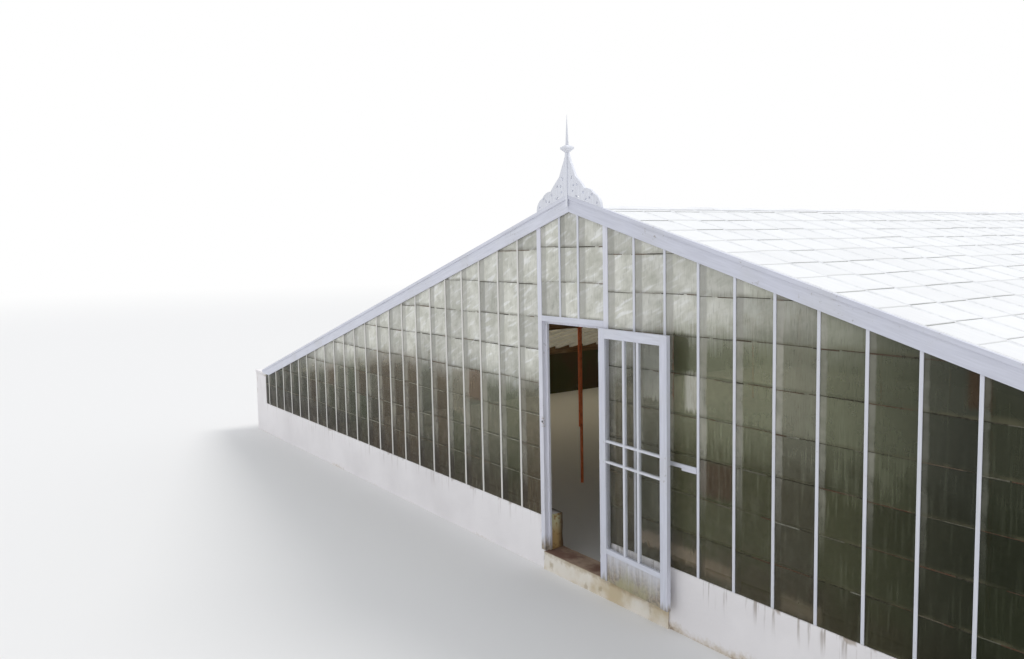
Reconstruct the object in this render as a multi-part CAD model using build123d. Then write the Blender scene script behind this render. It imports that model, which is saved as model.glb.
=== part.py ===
"""A long, low glasshouse: whitewashed masonry up to the sills and eaves, timber glazing bars, and a hinged door.

Units are millimetres. +Z is up, +X runs to the right along the front gable and +Y back along the ridge.
The origin is at the foot of the front wall, on the middle line of the doorway.
"""

import math
import os

from build123d import *

# Masonry
plinth_top = 464.0            # top of the low gable walls above the lowest ground
plinth_thickness = 200.0
sill_top = 160.0
sill_nosing = 18.0            # how far the door sill stands out of the wall
sill_reach = 710.0            # the sill runs on this far past the doorway, as a ledge under the open leaf
eaves_height = 914.4          # top of the roof glass above the inner faces of the eaves walls
inner_half_width = 7616.0     # middle line to the inner face of an eaves wall
eaves_wall_thickness = 448.0
ledge_width = 60.0            # inner ledge of the eaves wall, under the wall plate
kerb_width = 164.0            # outer kerb of the eaves wall
kerb_height = 200.0           # above the gutter's floor
gutter_drop = 56.1            # the gutter's floor lies this far under the wall plate
pier_rise = 32.6              # the corner piers end this far above the eaves
pier_cap_height = 32.0
pier_cap_overhang = 8.0
pier_inset = 80.0             # the pier's raised part starts this far outside the inner face

# Length
bay_count = 6
bay_length = 2000.0
panes_per_bay = 6

# Roof
roof_rise = 0.2875            # rise for each unit of run
roof_glass_height = 5.0       # upright thickness of a roof sheet
roof_glass_reach = 14.0       # the glass drips this far past the wall plate
roof_bar_depth = 52.0
roof_bar_width = 35.0
roof_nib_width = 10.0
roof_nib_height = 2.0         # the nib stands this far above the glass
ridge_board_width = 40.0
ridge_board_depth = 110.0
ridge_cap_wing = 90.0
ridge_cap_height = 6.0
end_rafter_width = 50.0
end_rafter_depth = 100.0
wall_plate_height = 84.0
eaves_board_thickness = 9.0
eaves_board_lap = 40.0        # it laps this far down the plate's outer face
inner_post_x = 2370.0
outer_post_x = 4900.0
post_radius = 17.0
post_sides = 16
post_seat_width = 90.0
post_seat_height = 8.0
purlin_width = 70.0
purlin_height = 95.0
tie_width = 50.0
tie_height = 90.0
king_post_width = 50.0

# Gable glazing
bar_pitch = 320.0
jamb_middle = 429.0           # middle line to the middle of a door jamb
jamb_width = 54.0
cap_width = 23.0              # outer face of a glazing bar
cap_depth = 6.0
web_width = 10.0
stem_width = 30.0
stem_depth = 50.0
gable_glass = 4.0
glass_play = 3.0              # gap between a sheet's edge and the web of its bar
bar_head_gap = 3.0            # gable bars stop this far under the roof glass
over_door_bars = (-144.0, 96.0)

# Bargeboards and finial
barge_upstand = 90.0          # the boards' top edge stands this far above the roof glass
barge_height = 134.0
barge_thickness = 14.0
barge_moulding_height = 30.0
barge_moulding_depth = 10.0
barge_foot_cut = 190.0        # the undersides run level from this far inside the eaves walls' inner faces

# Finial; heights are counted from the bargeboards' top corner
finial_post_half = 11.0
finial_post_proud = 8.0       # the post stands this far in front of the boards' moulding
finial_post_top = 332.0
finial_post_drop = 92.0
finial_flare = ((27.0, 294.0), (42.0, 262.0), (64.0, 222.0), (84.0, 182.0), (103.0, 145.0))
finial_lobes = (((150.0, 106.0), (218.0, 40.0)), ((288.0, 26.0), (330.0, -8.0)))
finial_last_bulge = (392.0, -52.0)
finial_reach = 414.0
finial_holes = ((82.0, 72.0, 11.0), (127.0, 74.0, 11.0), (72.0, 26.0, 10.0), (202.0, 8.0, 13.0),
                (236.0, -46.0, 12.0), (280.0, -38.0, 11.0), (310.0, -14.0, 11.0), (370.0, -82.0, 12.0))
finial_hole_sides = 8
finial_upright_slot = (59.0, 131.0, 36.0, 11.0, 72.0)    # place, length, width and lean in degrees
finial_level_slot = (129.0, -20.0, 46.0, 13.0, -16.0)
finial_cap_half = 40.0
finial_cap_throat = 30.0
finial_cap_edge = 14.0
finial_cap_roof = 16.0
finial_spike_radius = 13.0
finial_tip_radius = 1.5
finial_spike_top = 630.0
finial_spike_sides = 12

# Doorway and door
lintel_underside = 2160.0
lintel_height = 48.0
frame_depth = 60.0
stop_width = 22.0
stop_depth = 20.0
stop_gap = 6.0                # between the closed leaf and its stops
leaf_thickness = 34.0
leaf_free_gap = 13.0          # shut, the leaf's free edge stays this far from its jamb
leaf_foot_gap = 10.0
leaf_head_gap = 6.0
stile_width = 76.0
top_rail_height = 74.0
middle_rail_height = 40.0
kick_top = 432.0
kick_thickness = 18.0
leaf_bar_width = 24.0
leaf_bar_depth = 24.0
leaf_upright_bars = (297.0, 461.0)   # from the hinged edge
leaf_level_bars = (1122.0, 1284.0)
leaf_level_bar_height = 18.0
leaf_glass = 3.0
hinge_offset = 9.0            # hinge line in front of the wall's face
hinge_side_gap = 3.0          # hinge line to the jamb, and to the closed leaf's edge
lower_hinge = 230.0           # above the leaf's bottom edge
upper_hinge = 224.0           # below the leaf's top edge
knuckle_radius = 7.0
knuckle_sides = 16
knuckle_height = 80.0
middle_knuckle = 27.0
knuckle_gap = 0.5
pin_radius = 3.0
pin_play = 0.1
flap_thickness = 2.0
flap_reach = 33.0
flap_start = -1.0             # flaps are full height from here inwards
door_open_angle = 176.9       # as it stands: nearly flat against the wall
keep_width = 22.0             # each leg of the latch keep, which is folded round the jamb's front corner
keep_height = 92.0
keep_thickness = 3.0
keep_hole_radius = 9.0
keep_hole_depth = 30.0
keep_hole_sides = 12
keep_middle = 1293.0
stay_height = 44.0
stay_bottom = 1202.0
stay_proud = 8.0              # the stay stands this far in front of the bars' faces
stay_break_height = 16.0      # broken away under its hinge-side end
stay_break_length = 160.0

# Worked-out places
length = bay_count * bay_length
roof_bar_pitch = bay_length / panes_per_bay
roof_bar_total = bay_count * panes_per_bay
bar_count = int((inner_half_width - jamb_middle) // bar_pitch)
roof_apex = eaves_height + roof_rise * inner_half_width   # top of the glass, carried on to the middle line
barge_apex = roof_apex + barge_upstand
barge_reach = inner_half_width + pier_inset
outer_half_width = inner_half_width + eaves_wall_thickness
glass_front = cap_depth
glass_back = cap_depth + gable_glass
bar_back = glass_back + stem_depth
doorway_half = jamb_middle - jamb_width / 2
jamb_outer = jamb_middle + jamb_width / 2
lintel_top = lintel_underside + lintel_height
plate_outer = inner_half_width + ledge_width
glass_reach = plate_outer + roof_glass_reach
ridge_face = ridge_board_width / 2
rafter_front = bar_back
rafter_back = bar_back + end_rafter_width
hinge_x = doorway_half - hinge_side_gap
hinge_y = -hinge_offset
leaf_hinge_edge = hinge_x - hinge_side_gap
leaf_free_edge = leaf_free_gap - doorway_half
leaf_bottom = sill_top + leaf_foot_gap
leaf_top = lintel_underside - leaf_head_gap
low_hinge = leaf_bottom + lower_hinge
high_hinge = leaf_top - upper_hinge
hinge_heights = (low_hinge, (low_hinge + high_hinge) / 2, high_hinge)
hinge_axis = Axis((hinge_x, hinge_y, 0), (0, 0, 1))
barge_depth = barge_thickness + barge_moulding_depth
barge_front = -barge_depth
bay_lines = [bay_length * step for step in range(1, bay_count)]
slope_length = math.hypot(1, roof_rise)

nodes = {}


def block(x_low, x_high, y_low, y_high, z_low, z_high):
    """A rectangular solid between two corners."""
    size = (x_high - x_low, y_high - y_low, z_high - z_low)
    middle = ((x_low + x_high) / 2, (y_low + y_high) / 2, (z_low + z_high) / 2)
    return Pos(*middle) * Box(*size)


def along_y(points, y_low, y_high):
    """A solid whose outline is drawn on the X-Z plane."""
    outline = Polyline([(x, y_low, z) for x, z in points], close=True)
    return extrude(make_face(outline), amount=y_high - y_low, dir=(0, 1, 0))


def along_z(points, z_low, z_high):
    """A solid whose outline is drawn on the X-Y plane."""
    outline = Polyline([(x, y, z_low) for x, y in points], close=True)
    return extrude(make_face(outline), amount=z_high - z_low, dir=(0, 0, 1))


def down_slope(profile, x_low, x_high):
    """A solid that runs down the right slope, with upright ends; the profile holds (y, z on the middle line)."""
    outline = Polyline([(x_low, y, z - roof_rise * x_low) for y, z in profile], close=True)
    run = (x_high - x_low) * slope_length
    return extrude(make_face(outline), amount=run, dir=(1, 0, -roof_rise))


def flip(solids):
    """The same solids on the other side of the middle line."""
    return [mirror(solid, about=Plane.YZ) for solid in solids]


def to_back(solids):
    """The same solids at the back gable, seen from behind as the front is from in front."""
    return [Pos(0, length, 0) * mirror(solid, about=Plane.XZ) for solid in solids]


def keep(name, solids):
    nodes[name] = Compound(children=list(solids))


def glass_top(x):
    return roof_apex - roof_rise * abs(x)


def glass_under(x):
    return glass_top(x) - roof_glass_height


def bar_under(x):
    return glass_under(x) - roof_bar_depth


def barge_top(x):
    return barge_apex - roof_rise * abs(x)


def bar_outline(x):
    """Outer cap, web between the sheets and inner stem of a glazing bar."""
    return [(x - cap_width / 2, 0), (x + cap_width / 2, 0), (x + cap_width / 2, glass_front),
            (x + web_width / 2, glass_front), (x + web_width / 2, glass_back),
            (x + stem_width / 2, glass_back), (x + stem_width / 2, bar_back),
            (x - stem_width / 2, bar_back), (x - stem_width / 2, glass_back),
            (x - web_width / 2, glass_back), (x - web_width / 2, glass_front),
            (x - cap_width / 2, glass_front)]


def under_roof(y_low, y_high):
    """All the space under the roof glass, to trim the heads of the gable's uprights."""
    head = glass_under(0) - bar_head_gap
    low = head - roof_rise * outer_half_width
    points = [(-outer_half_width, 0), (outer_half_width, 0), (outer_half_width, low), (0, head),
              (-outer_half_width, low)]
    return along_y(points, y_low, y_high)


def glazing_bar(x, z_low):
    """A glazing bar cut to the roof's slope."""
    high = glass_under(abs(x) - cap_width)
    return along_z(bar_outline(x), z_low, high) & trimmer


def sheet(x_low, x_high, z_low):
    """One column of gable glass; its head is hidden behind the bargeboard."""
    head = glass_under(0) - bar_head_gap
    points = [(x_low, z_low), (x_high, z_low), (x_high, head - roof_rise * abs(x_high)),
              (x_low, head - roof_rise * abs(x_low))]
    if x_low < 0 < x_high:
        points.insert(3, (0, head))
    return along_y(points, glass_front, glass_back)


def masonry():
    """Gable plinths, door sill and the thick eaves walls with their piers and gutters."""
    rebate = block(doorway_half, jamb_outer, 0, frame_depth, sill_top, plinth_top)
    front = block(doorway_half, inner_half_width, 0, plinth_thickness, 0, plinth_top) - rebate
    keep("plinth_right", [front])
    keep("plinth_left", flip([front]))
    sill = block(-doorway_half, doorway_half, -sill_nosing, plinth_thickness, 0, sill_top)
    sill += block(doorway_half, doorway_half + sill_reach, -sill_nosing, 0, 0, sill_top)
    keep("door_sill", [sill])
    keep("back_plinth", to_back([block(-inner_half_width, inner_half_width, 0, plinth_thickness, 0,
                                       plinth_top)]))
    ledge_top = bar_under(plate_outer) - wall_plate_height
    gutter_floor = ledge_top - gutter_drop
    kerb_top = gutter_floor + kerb_height
    pier_top = eaves_height + pier_rise
    kerb_face = outer_half_width - kerb_width
    profile = [(inner_half_width, 0), (outer_half_width, 0), (outer_half_width, kerb_top),
               (kerb_face, kerb_top), (kerb_face, gutter_floor), (plate_outer, gutter_floor),
               (plate_outer, ledge_top), (inner_half_width, ledge_top)]
    wall = along_y(profile, plinth_thickness, length - plinth_thickness)
    pier = block(inner_half_width, outer_half_width, 0, plinth_thickness, 0, ledge_top)
    pier += block(barge_reach, outer_half_width, 0, plinth_thickness, ledge_top, pier_top - pier_cap_height)
    shoulder_top = glass_under(barge_reach) - bar_head_gap
    pier += block(inner_half_width, barge_reach, 0, bar_back, ledge_top, shoulder_top)
    cap = block(barge_reach, outer_half_width + pier_cap_overhang, -pier_cap_overhang,
                plinth_thickness + pier_cap_overhang, pier_top - pier_cap_height, pier_top)
    front_pier = pier + cap
    outlet = along_y(profile, length - plinth_thickness, length)
    right = wall + front_pier + outlet
    keep("eaves_wall_right", [right])
    keep("eaves_wall_left", flip([right]))
    plate = along_y([(inner_half_width, ledge_top), (plate_outer, ledge_top),
                     (plate_outer, bar_under(plate_outer)), (inner_half_width, bar_under(inner_half_width))],
                    rafter_back, length - rafter_back)
    board_face = plate_outer + eaves_board_thickness
    board_low = bar_under(plate_outer) - eaves_board_lap
    board = along_y([(plate_outer, board_low), (board_face, board_low), (board_face, glass_under(board_face)),
                     (plate_outer, glass_under(plate_outer))], rafter_back, length - rafter_back)
    keep("wall_plates", [plate, board] + flip([plate, board]))


def gable_glazing():
    """Bars and sheets of both gables."""
    places = [jamb_middle + bar_pitch * step for step in range(1, bar_count + 1)]
    bars = [glazing_bar(x, plinth_top) for x in places]
    keep("front_bars_right", bars)
    keep("front_bars_left", flip(bars))
    half = web_width / 2 + glass_play
    edges = [jamb_outer] + places
    sheets = []
    for step, place in enumerate(edges):
        low = place if step == 0 else place + half
        high = inner_half_width if step == bar_count else edges[step + 1] - half
        sheets.append(sheet(low, high, plinth_top))
    keep("front_glass_right", sheets)
    keep("front_glass_left", flip(sheets))
    keep("over_door_bars", [glazing_bar(x, lintel_top) for x in over_door_bars])
    over = [-doorway_half - half] + list(over_door_bars) + [doorway_half + half]
    keep("over_door_glass", [sheet(low + half, high - half, lintel_top) for low, high in zip(over, over[1:])])
    back_places = [0.5 * bar_pitch + bar_pitch * step for step in range(bar_count + 2)]
    back_places = [x for x in back_places if x < inner_half_width - cap_width]
    back_bars = [glazing_bar(x, plinth_top) for x in back_places]
    keep("back_bars", to_back(back_bars + flip(back_bars)))
    row = sorted([-x for x in back_places] + back_places)
    pairs = list(zip([-inner_half_width - half] + row, row + [inner_half_width + half]))
    keep("back_glass", to_back([sheet(low + half, high - half, plinth_top) for low, high in pairs]))


def door_frame():
    """Jambs, lintel and stops round the doorway."""
    head = glass_under(doorway_half)
    right = block(doorway_half, jamb_outer, 0, frame_depth, sill_top, head) & trimmer
    keep("door_jamb_right", [right])
    bore = extrude(RegularPolygon(keep_hole_radius, keep_hole_sides), keep_hole_depth)
    hole = Pos(-doorway_half - keep_width / 2, -2 * keep_thickness, keep_middle) * Rot(-90, 0, 0) * bore
    keep("door_jamb_left", [flip([right])[0] - hole])
    keep("door_lintel", [block(-doorway_half, doorway_half, 0, frame_depth, lintel_underside, lintel_top)])
    stop_front = leaf_thickness + stop_gap
    stop_back = stop_front + stop_depth
    side = block(doorway_half - stop_width, doorway_half, stop_front, stop_back, sill_top, lintel_underside)
    top = block(stop_width - doorway_half, doorway_half - stop_width, stop_front, stop_back,
                lintel_underside - stop_width, lintel_underside)
    keep("door_stops", [side, top] + flip([side]))
    keep_low = keep_middle - keep_height / 2
    keep_high = keep_middle + keep_height / 2
    angle = block(-doorway_half - keep_width, keep_thickness - doorway_half, -keep_thickness, 0, keep_low,
                  keep_high)
    angle += block(-doorway_half, keep_thickness - doorway_half, 0, keep_width, keep_low, keep_high)
    keep("latch_keep", [angle - hole])
    stay_left = jamb_middle + 2 * bar_pitch + cap_width / 2
    stay_right = stay_left + bar_pitch - cap_width
    stay = block(stay_left, stay_right, -stay_proud, glass_front, stay_bottom, stay_bottom + stay_height)
    stay -= block(stay_left, stay_left + stay_break_length, -stay_proud, glass_front, stay_bottom,
                  stay_bottom + stay_break_height)
    keep("door_stay", [stay])


def roof_frame():
    """Ridge, end rafters, purlins, posts, ties and king posts."""
    ridge_top = roof_apex + roof_nib_height
    shoulder = ridge_top - roof_rise * ridge_face
    low = glass_under(0) - ridge_board_depth
    keep("ridge_board", [along_y([(-ridge_face, low), (ridge_face, low), (ridge_face, shoulder),
                                  (0, ridge_top), (-ridge_face, shoulder)], rafter_front,
                                 length - rafter_front)])
    wing_low = ridge_top - roof_rise * ridge_cap_wing
    keep("ridge_cap", [along_y([(-ridge_cap_wing, wing_low), (0, ridge_top), (ridge_cap_wing, wing_low),
                                (ridge_cap_wing, wing_low + ridge_cap_height),
                                (0, ridge_top + ridge_cap_height),
                                (-ridge_cap_wing, wing_low + ridge_cap_height)], 0, length)])
    under = glass_under(0)
    rafter = down_slope([(rafter_front, under - end_rafter_depth), (rafter_back, under - end_rafter_depth),
                         (rafter_back, under), (rafter_front, under)], ridge_face, plate_outer)
    pair = [rafter] + flip([rafter])
    keep("end_rafters_front", pair)
    keep("end_rafters_back", to_back(pair))
    half = purlin_width / 2
    purlins = []
    posts = []
    for place, seat in ((inner_post_x, tie_height), (outer_post_x, 0)):
        bottom = bar_under(place) - purlin_height
        purlins.append(along_y([(place - half, bottom), (place + half, bottom),
                                (place + half, bar_under(place + half)),
                                (place - half, bar_under(place - half))], rafter_back, length - rafter_back))
        top = bottom - seat - post_seat_height
        for line in bay_lines:
            shaft = Pos(place, line, 0) * extrude(RegularPolygon(post_radius, post_sides), top)
            pad = Pos(place, line, top + post_seat_height / 2) * Box(post_seat_width, post_seat_width,
                                                                     post_seat_height)
            posts.append(shaft + pad)
    keep("purlins", purlins + flip(purlins))
    keep("posts_right", posts)
    keep("posts_left", flip(posts))
    tie_top = bar_under(inner_post_x) - purlin_height
    reach = inner_post_x + post_seat_width / 2
    ties = [block(-reach, reach, line - tie_width / 2, line + tie_width / 2, tie_top - tie_height, tie_top)
            for line in bay_lines]
    keep("tie_beams", ties)
    half = king_post_width / 2
    keep("king_posts", [block(-half, half, line - half, line + half, tie_top, low) for line in bay_lines])


def roof_glazing():
    """Roof bars with their nibs, and one sheet of glass for each column of panes."""
    under = glass_under(0)
    low = under - roof_bar_depth
    nib_top = roof_apex + roof_nib_height
    wide = roof_bar_width / 2
    slim = roof_nib_width / 2
    bars = []
    for step in range(1, roof_bar_total):
        place = step * roof_bar_pitch
        bars.append(down_slope([(place - wide, low), (place + wide, low), (place + wide, under),
                                (place + slim, under), (place + slim, nib_top), (place - slim, nib_top),
                                (place - slim, under), (place - wide, under)], ridge_face, plate_outer))
    keep("roof_bars_right", bars)
    keep("roof_bars_left", flip(bars))
    half = slim + glass_play
    sheets = []
    for step in range(roof_bar_total):
        front = 0 if step == 0 else step * roof_bar_pitch + half
        back = length if step == roof_bar_total - 1 else (step + 1) * roof_bar_pitch - half
        sheets.append(down_slope([(front, under), (back, under), (back, roof_apex), (front, roof_apex)],
                                 ridge_face, glass_reach))
    keep("roof_glass_right", sheets)
    keep("roof_glass_left", flip(sheets))


def bargeboards():
    """Boards along both gables, each with a raised moulding on its upper part and a foot cut level."""
    low = barge_apex - barge_height
    step = barge_apex - barge_moulding_height
    profile = [(0, low), (0, barge_apex), (barge_front, barge_apex), (barge_front, step),
               (-barge_thickness, step), (-barge_thickness, low)]
    board = down_slope(profile, 0, barge_reach)
    foot = inner_half_width - barge_foot_cut
    foot_low = barge_top(foot) - barge_height
    end_low = barge_top(barge_reach) - barge_height
    board -= along_y([(foot, foot_low), (barge_reach, foot_low), (barge_reach, end_low)], barge_front, 0)
    keep("front_bargeboard_right", [board])
    keep("front_bargeboard_left", flip([board]))
    keep("back_bargeboards", to_back([board] + flip([board])))


def slot(place, y):
    """A long hole through the finial's board, to be cut out of it."""
    x, height, long_side, wide, lean = place
    outline = Rot(0, 0, lean) * chamfer(Rectangle(long_side, wide).vertices(), 0.3 * wide)
    turned = Pos(x, y, barge_apex + height) * Rot(90, 0, 0) * outline
    return extrude(turned, amount=barge_depth, both=True)


def finial():
    """Scalloped and pierced board on the front apex, with a post before it, a square cap and a spike."""
    middle_y = barge_front / 2
    flare = [(finial_post_half, barge_front, barge_apex + finial_post_top)]
    flare += [(x, barge_front, barge_apex + height) for x, height in finial_flare]
    edges = [Spline(flare)]
    last = flare[-1]
    lobes = finial_lobes + ((finial_last_bulge, (finial_reach, -roof_rise * finial_reach)),)
    for (bulge_x, bulge), (end_x, end) in lobes:
        foot = (end_x, barge_front, barge_apex + end)
        edges.append(ThreePointArc(last, (bulge_x, barge_front, barge_apex + bulge), foot))
        last = foot
    edges.append(Polyline([last, (0, barge_front, barge_apex), (0, barge_front, flare[0][2]), flare[0]]))
    half = extrude(make_face(edges), amount=barge_depth, dir=(0, 1, 0))
    for x, height, radius in finial_holes:
        outline = RegularPolygon(radius, finial_hole_sides)
        turned = Pos(x, middle_y, barge_apex + height) * Rot(90, 0, 0) * outline
        half -= extrude(turned, amount=barge_depth, both=True)
    half -= slot(finial_upright_slot, middle_y)
    half -= slot(finial_level_slot, middle_y)
    keep("finial_board", [half + mirror(half, about=Plane.YZ)])
    post_front = barge_front - finial_post_proud
    wide = finial_post_half
    throat = barge_apex + finial_post_top
    keep("finial_post", [block(-wide, wide, post_front, barge_front, barge_apex - finial_post_drop, throat)])
    centre_y = post_front / 2
    edge_low = throat + finial_cap_throat
    edge_high = edge_low + finial_cap_edge
    spike_low = edge_high + finial_cap_roof
    outline = [(wide, throat), (finial_cap_half, edge_low), (finial_cap_half, edge_high),
               (finial_spike_radius, spike_low)]
    outline += [(-x, z) for x, z in reversed(outline)]
    from_front = along_y(outline, centre_y - finial_cap_half, centre_y + finial_cap_half)
    from_side = Pos(0, centre_y, 0) * from_front.moved(Pos(0, -centre_y, 0)).rotate(Axis.Z, 90)
    keep("finial_cap", [from_front & from_side])
    spike_height = barge_apex + finial_spike_top - spike_low
    taper = math.degrees(math.atan((finial_spike_radius - finial_tip_radius) / spike_height))
    base = RegularPolygon(finial_spike_radius, finial_spike_sides)
    keep("finial_spike", [Pos(0, centre_y, spike_low) * extrude(base, amount=spike_height, taper=taper)])


def knuckle(z_low, z_high):
    """One barrel of a hinge, on the hinge line."""
    return Pos(hinge_x, hinge_y, z_low) * extrude(RegularPolygon(knuckle_radius, knuckle_sides), z_high - z_low)


def hinges():
    """Three butt hinges: a fixed half with the pin on the jamb, and a half that turns with the leaf."""
    jamb_halves = []
    leaf_halves = []
    end_height = (knuckle_height - middle_knuckle) / 2 - knuckle_gap
    for height in hinge_heights:
        low = height - knuckle_height / 2
        high = height + knuckle_height / 2
        place = Pos(hinge_x, hinge_y, height)
        fixed = block(doorway_half - flap_thickness, doorway_half, flap_start, flap_reach, low, high)
        for z_low, z_high in ((low, low + end_height), (high - end_height, high)):
            fixed += knuckle(z_low, z_high)
            fixed += block(doorway_half - flap_thickness, doorway_half, hinge_y, flap_start, z_low, z_high)
        fixed += place * Cylinder(pin_radius, knuckle_height)
        jamb_halves.append(fixed)
        moving = block(leaf_hinge_edge, leaf_hinge_edge + flap_thickness, flap_start, flap_reach, low, high)
        moving += knuckle(height - middle_knuckle / 2, height + middle_knuckle / 2)
        moving += block(leaf_hinge_edge, leaf_hinge_edge + flap_thickness, hinge_y, flap_start,
                        height - middle_knuckle / 2, height + middle_knuckle / 2)
        moving -= place * Cylinder(pin_radius + pin_play, 2 * middle_knuckle)
        leaf_halves.append(moving)
    keep("hinge_jamb_halves", jamb_halves)
    return leaf_halves


def door():
    """The leaf, drawn shut in its frame and then swung open about the hinge line."""
    inner_hinge = leaf_hinge_edge - stile_width
    inner_free = leaf_free_edge + stile_width
    rail_low = leaf_top - top_rail_height
    middle = leaf_thickness / 2
    shut = {}
    shut["door_stiles"] = [block(inner_hinge, leaf_hinge_edge, 0, leaf_thickness, leaf_bottom, leaf_top),
                           block(leaf_free_edge, inner_free, 0, leaf_thickness, leaf_bottom, leaf_top)]
    kick_rail_low = kick_top - middle_rail_height
    shut["door_rails"] = [block(inner_free, inner_hinge, 0, leaf_thickness, rail_low, leaf_top),
                          block(inner_free, inner_hinge, 0, leaf_thickness, kick_rail_low, kick_top)]
    shut["door_kick_panel"] = [block(inner_free, inner_hinge, middle - kick_thickness / 2,
                                     middle + kick_thickness / 2, leaf_bottom, kick_rail_low)]
    bar_front = middle - leaf_bar_depth / 2
    bar_rear = middle + leaf_bar_depth / 2
    uprights = [leaf_hinge_edge - place for place in leaf_upright_bars]
    levels = leaf_level_bars
    lattice = None
    for x in uprights:
        bar = block(x - leaf_bar_width / 2, x + leaf_bar_width / 2, bar_front, bar_rear, kick_top, rail_low)
        lattice = bar if lattice is None else lattice + bar
    for z in levels:
        lattice += block(inner_free, inner_hinge, bar_front, bar_rear, z - leaf_level_bar_height / 2,
                         z + leaf_level_bar_height / 2)
    shut["door_glazing_bars"] = [lattice]
    half = leaf_bar_width / 2
    columns = [(inner_free, uprights[1] - half), (uprights[1] + half, uprights[0] - half),
               (uprights[0] + half, inner_hinge)]
    half = leaf_level_bar_height / 2
    rows = [(kick_top, levels[0] - half), (levels[0] + half, levels[1] - half), (levels[1] + half, rail_low)]
    shut["door_glass"] = [block(x_low, x_high, middle - leaf_glass / 2, middle + leaf_glass / 2, z_low, z_high)
                          for x_low, x_high in columns for z_low, z_high in rows]
    shut["hinge_leaf_halves"] = hinges()
    for name, solids in shut.items():
        keep(name, [solid.rotate(hinge_axis, door_open_angle) for solid in solids])


trimmer = under_roof(-1, bar_back + 1)
masonry()
gable_glazing()
door_frame()
roof_frame()
roof_glazing()
bargeboards()
finial()
door()

os.makedirs("parts", exist_ok=True)
for name, shape in nodes.items():
    export_step(shape, f"parts/{name}.step")
print(len(nodes), "nodes;", f"leaf open by {door_open_angle} degrees")
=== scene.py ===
"""A long, low glasshouse: lapped dirty panes, a limewashed roof, weathered white timber and rough plaster.

Units are metres. Every piece takes its place from the loaded frame. In the materials, a place on the gable is
given as X along it and Z above the ground.
"""

import math
from random import Random

import bmesh
import bpy
from mathutils import Matrix, Vector, noise


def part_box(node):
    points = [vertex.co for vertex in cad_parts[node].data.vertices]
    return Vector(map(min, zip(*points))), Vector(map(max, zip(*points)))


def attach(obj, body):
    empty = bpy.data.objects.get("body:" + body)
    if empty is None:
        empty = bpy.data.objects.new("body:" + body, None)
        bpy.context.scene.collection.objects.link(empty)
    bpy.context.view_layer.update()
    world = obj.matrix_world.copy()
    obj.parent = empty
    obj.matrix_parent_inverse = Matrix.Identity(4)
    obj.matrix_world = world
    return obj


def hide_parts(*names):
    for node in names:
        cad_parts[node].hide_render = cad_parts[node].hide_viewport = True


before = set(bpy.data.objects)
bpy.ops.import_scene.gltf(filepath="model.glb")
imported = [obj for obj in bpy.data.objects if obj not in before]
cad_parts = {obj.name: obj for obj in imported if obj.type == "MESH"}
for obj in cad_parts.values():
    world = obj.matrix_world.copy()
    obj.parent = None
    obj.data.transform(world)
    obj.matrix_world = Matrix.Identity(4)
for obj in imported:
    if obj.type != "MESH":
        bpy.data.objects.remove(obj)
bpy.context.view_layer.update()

# The photograph's camera
photo_width = 1024
focal_pixels = 874.05
sensor_width = 36.0
camera_place = Vector((5.558, -4.369, 2.786))
camera_yaw = -0.9724
camera_pitch = 0.0936
camera_roll = -0.0198
camera_reach = 500.0

# Floor, sky and sun
floor_half = 200.0
floor_fade = (26.0, 70.0)     # from the origin; the floor is plain white beyond
sky_colour = (0.93, 0.96, 1.0)
sky_strength = 0.92
sun_colour = (1.0, 0.985, 0.96)
sun_strength = 1.18
sun_spread = math.radians(24)
sun_turn = (math.radians(-38), 0, math.radians(-20))

# Gable panes
bar_pitch = 0.32
jamb_middle = 0.429
lap_right = (0.7745, 0.280)   # lowest lap above the ground, and from lap to lap
lap_left = (0.790, 0.284)
lap_over_door = (2.511, 0.284)
lap_cover = 0.016             # how far a pane hangs over the one below
lap_waver = 0.007
pane_thickness = 0.0019
pane_head_gap = 0.003         # between a pane's slanting head and the roof glass
side_shift = 57.0             # so that the two sides' columns draw different random numbers
pane_stir = 7.31              # makes a second random number from a pane's shade
spot_softness = 0.05
spot_raggedness = 0.12

# Beads of grime in the laps; each pair is a least and a greatest value
bead_height = 0.006
bead_depth = 0.0016
bead_run = (0.05, 0.30)
bead_fullness = (0.35, 1.25)
bead_bulge = (0.2, 1.0)
bead_gap = 0.05
bead_gap_share = 0.4          # how often a gap follows a bead

# Roof panes
roof_lap_first = 0.126        # from the ridge board along the slope
roof_lap_pitch = 0.307
roof_lap_cover = 0.02
roof_lap_waver = 0.022
roof_end_waver = 0.004
roof_end_skew = 0.003
roof_pane_thickness = 0.003
roof_pane_lift = 0.004
roof_bead_height = 0.005
roof_bead_depth = 0.004
roof_bead_crest = 0.7         # share of its height that the bead stands above the pane's foot
roof_bead_toe = 0.001         # the bead's outer edge lies this far under the pane's foot
roof_sheet_extra = 0.001      # the roof's plain sheets are this much thicker than the gable's

# Putty along the roof bars; heights are above the glass
putty_width = 0.009
putty_spread = (0.7, 1.2)
putty_run = (0.5, 1.4)
putty_gap = 0.03
putty_gap_share = 0.3
putty_over_bar = 0.003
putty_low = -0.002
putty_crest = 0.0035
putty_lip = 0.0005

# Plaster
plaster_cell = 0.045
wall_cell = 0.09
sill_cell = 0.03
plaster_unevenness = 0.004
arris_wear = 0.003
arris_angle = 0.5             # faces that meet at more than this make an arris
broad_swell = (2.3, 0.65)     # scale of the noise, and its share of the unevenness
fine_swell = (9.0, 0.35)
chip_depth = 0.016
chip_scale = 11.0
chip_seed = Vector((3.1, 0.7, 5.9))
chip_start = 0.12             # noise above this is a chip
chip_mark = 3                 # turns a chip's depth into the mark that the plaster's colours read
pit_scale = 17.0
pit_share = 1.5               # pits below the sill's top are this much deeper than the unevenness
flat_angle = 0.02
cut_tolerance = 1e-6
touch = 0.002                 # a point nearer than this counts as on a plane

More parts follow.
